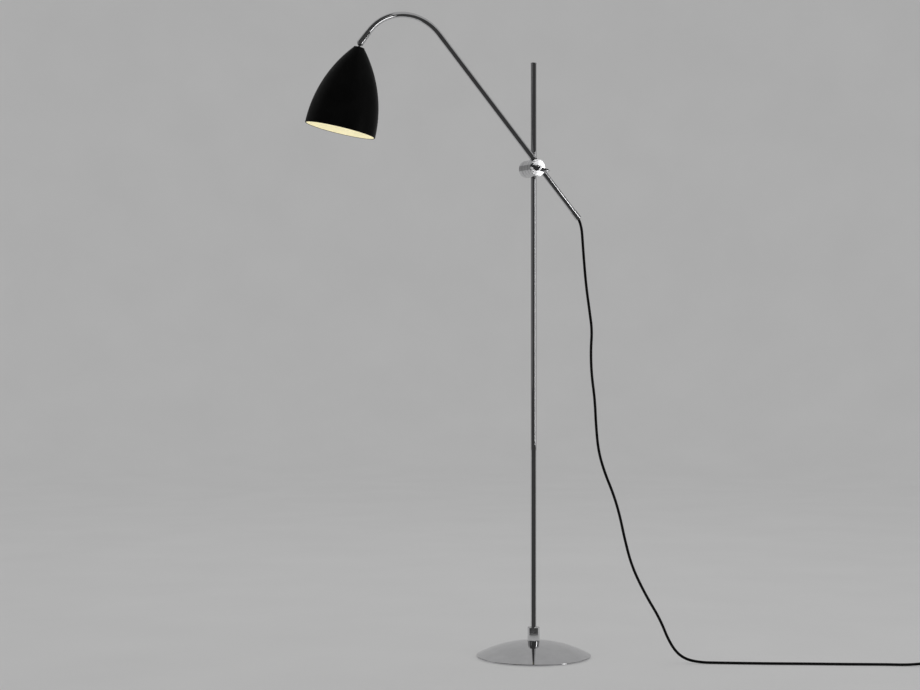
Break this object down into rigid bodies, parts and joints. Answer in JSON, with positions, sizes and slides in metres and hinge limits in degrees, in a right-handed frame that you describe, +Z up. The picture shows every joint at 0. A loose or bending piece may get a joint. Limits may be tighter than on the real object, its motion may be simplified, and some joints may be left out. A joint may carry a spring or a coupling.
{
  "type": "floor lamp",
  "caption": "Floor lamp with a round weighted base, a slim post, a clamp that slides on it, a bent arm and a ball-jointed bell shade, with a foot switch on its lead.",
  "frame": {"origin": "on the floor, at the centre of the round base, under the post's axis", "axes": "+Z up the post; the arm lies in a plane parallel to XZ in front of the post, towards -Y, and reaches to -X with the shade at its end; the clamp's bolt is along Y"},
  "size_m": [1.3638, 0.7628, 1.3957],
  "materials": {
    "chrome": "mirror polished nickel-chrome plate",
    "cast_iron": "as cast, painted black",
    "pad_rubber": "matt black",
    "bearing_plastic": "moulded black nylon",
    "steel": "zinc plated",
    "shade_black": "satin black outside, warm white enamel inside",
    "holder_black": "moulded black, fine matt grain",
    "brass": "bright rolled brass",
    "bulb_metal": "bright rolled thread",
    "bulb_glass": "frosted inside, lit warm",
    "cord_black": "smooth black flexible sheath",
    "tie": "black strap"
  },
  "bodies": {
    "base": {"base_shell": "chrome", "base_weight": "cast_iron", "base_pad": "pad_rubber", "base_washer": "steel", "base_bolt": "steel", "post": "chrome", "post_plug": "steel", "post_cap": "chrome", "collar": "chrome", "collar_screw": "steel", "cord_lead": "cord_black", "cord_switch_lead": "cord_black", "cord_coil": "cord_black", "cord_tie": "tie", "cord_plug_lead": "cord_black", "plug_body": "cord_black", "plug_blades": "brass", "switch_base": "holder_black", "switch_cover": "holder_black", "switch_block": "holder_black", "switch_spring": "steel", "switch_boots": "cord_black"},
    "post_sleeve": {"post_sleeve": "bearing_plastic"},
    "clamp_rear": {"clamp_rear_outer": "chrome", "clamp_rear_inner": "chrome", "friction_washer": "bearing_plastic", "clamp_bolt": "chrome"},
    "clamp_front": {"clamp_front_inner": "chrome", "clamp_front_outer": "chrome"},
    "arm_sleeve": {"arm_sleeve": "bearing_plastic"},
    "arm": {"arm_tube": "chrome", "inner_lead": "cord_black", "ferrule": "chrome", "ferrule_grommet": "pad_rubber", "socket_tip": "chrome", "socket_ring": "chrome", "seat_spring": "steel"},
    "thrust_washer": {"thrust_washer": "chrome"},
    "wing_nut": {"wing_nut": "chrome"},
    "ball_seat": {"ball_seat": "bearing_plastic"},
    "ball_stud": {"ball_stud": "chrome", "stud_nut": "steel"},
    "shade": {"shade": "shade_black", "shade_rim": "shade_black", "lampholder_cap": "holder_black", "lampholder_body": "holder_black", "lampholder_shell": "brass", "lampholder_contact": "brass", "bulb_cap": "bulb_metal", "bulb_glass": "bulb_glass", "bulb_stem": "bulb_glass"},
    "switch_button": {"switch_button": "holder_black"}
  },
  "joints": [
    {"name": "clamp_height", "type": "slide", "parent": "base", "child": "post_sleeve", "axis": [0, 0, 1], "range_m": [-0.85, 0.2], "deforming": ["cord_lead"]},
    {"name": "arm_turn", "type": "hinge", "parent": "post_sleeve", "child": "clamp_rear", "pos_m": [0, 0, 1.0793], "axis": [0, 0, 1], "range_deg": [-90, 90], "deforming": ["cord_lead"]},
    {"name": "arm_tilt", "type": "hinge", "parent": "clamp_rear", "child": "clamp_front", "pos_m": [-0.0105, 0, 1.0793], "axis": [0, -1, 0], "range_deg": [-40, 47], "deforming": ["cord_lead"]},
    {"name": "thrust_slide", "type": "slide", "parent": "clamp_front", "child": "thrust_washer", "axis": [0, -1, 0], "range_m": [0, 0.0008]},
    {"name": "wing_nut_turn", "type": "hinge", "parent": "thrust_washer", "child": "wing_nut", "pos_m": [-0.0105, -0.0372, 1.0793], "axis": [0, -1, 0], "range_deg": [0, 360]},
    {"name": "arm_roll", "type": "hinge", "parent": "clamp_front", "child": "arm_sleeve", "pos_m": [-0.00275, -0.024, 1.08638], "axis": [0.6746, 0, -0.7382], "range_deg": [-90, 90], "deforming": ["cord_lead"]},
    {"name": "arm_slide", "type": "slide", "parent": "arm_sleeve", "child": "arm", "axis": [0.6746, 0, -0.7382], "range_m": [-0.11, 0.33], "deforming": ["cord_lead"]},
    {"name": "shade_turn", "type": "hinge", "parent": "arm", "child": "ball_seat", "pos_m": [-0.43363, -0.024, 1.32101], "axis": [-0.6085, 0, -0.7936], "range_deg": [-165, 165]},
    {"name": "shade_tilt", "type": "hinge", "parent": "ball_seat", "child": "ball_stud", "pos_m": [-0.43363, -0.024, 1.32101], "axis": [0.1871, -0.9718, -0.1435], "range_deg": [-74, 21]},
    {"name": "shade_spin", "type": "hinge", "parent": "ball_stud", "child": "shade", "pos_m": [-0.43542, -0.02305, 1.31224], "axis": [-0.1987, 0.1056, -0.9744], "range_deg": [-170, 170]},
    {"name": "switch_press", "type": "slide", "parent": "base", "child": "switch_button", "axis": [0, 0, -1], "range_m": [0, 0.003], "stiffness_N_per_m": 900, "springref_m": -0.003, "deforming": ["switch_spring"]}
  ],
  "couplings": [
    {"joint": "thrust_slide", "follows": "wing_nut_turn", "m_per_rad": 0.00012732}
  ]
}
